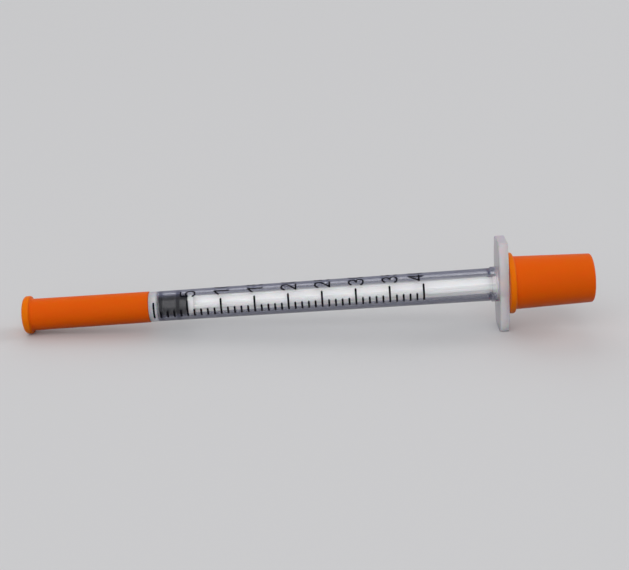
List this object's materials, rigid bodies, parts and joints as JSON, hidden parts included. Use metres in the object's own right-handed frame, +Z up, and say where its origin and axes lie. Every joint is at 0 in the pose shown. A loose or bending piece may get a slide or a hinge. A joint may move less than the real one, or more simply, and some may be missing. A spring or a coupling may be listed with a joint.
{
  "type": "disposable syringe",
  "caption": "Small capped disposable syringe with a fixed needle: clear graduated barrel with a finger flange, ribbed plunger, long needle shield and short plunger cap, both push-on.",
  "frame": {"origin": "on the table, under the middle of the object's box; the syringe lies as it comes to rest, on the rim of the needle shield and the lower end of the finger flange", "axes": "+X along the syringe from the needle shield to the plunger cap, +Z up; the syringe's own axis rises 3.31 degrees towards +X"},
  "size_m": [0.1172, 0.0124, 0.0191],
  "materials": {
    "clear_plastic": "clear, milky where thick",
    "needle_steel": "bright drawn",
    "needle_glue": "clear cured",
    "gasket_rubber": "satin",
    "white_plastic": "satin moulded",
    "orange_plastic": "satin moulded",
    "scale_ink": "printed ink"
  },
  "bodies": {
    "barrel": {"barrel": "clear_plastic", "needle": "needle_steel", "needle_adhesive": "needle_glue"},
    "plunger": {"plunger_rod": "white_plastic", "gasket": "gasket_rubber"},
    "needle_shield": {"needle_shield": "orange_plastic"},
    "plunger_cap": {"plunger_cap": "orange_plastic"}
  },
  "joints": [
    {"name": "plunger_slide", "type": "slide", "parent": "barrel", "child": "plunger", "axis": [0.9983, 0, 0.0578], "range_m": [0, 0.059]},
    {"name": "shield_pull", "type": "slide", "parent": "barrel", "child": "needle_shield", "axis": [-0.9983, 0, -0.0578], "range_m": [0, 0.024]},
    {"name": "cap_pull", "type": "slide", "parent": "plunger", "child": "plunger_cap", "axis": [0.9983, 0, 0.0578], "range_m": [0, 0.017]}
  ]
}
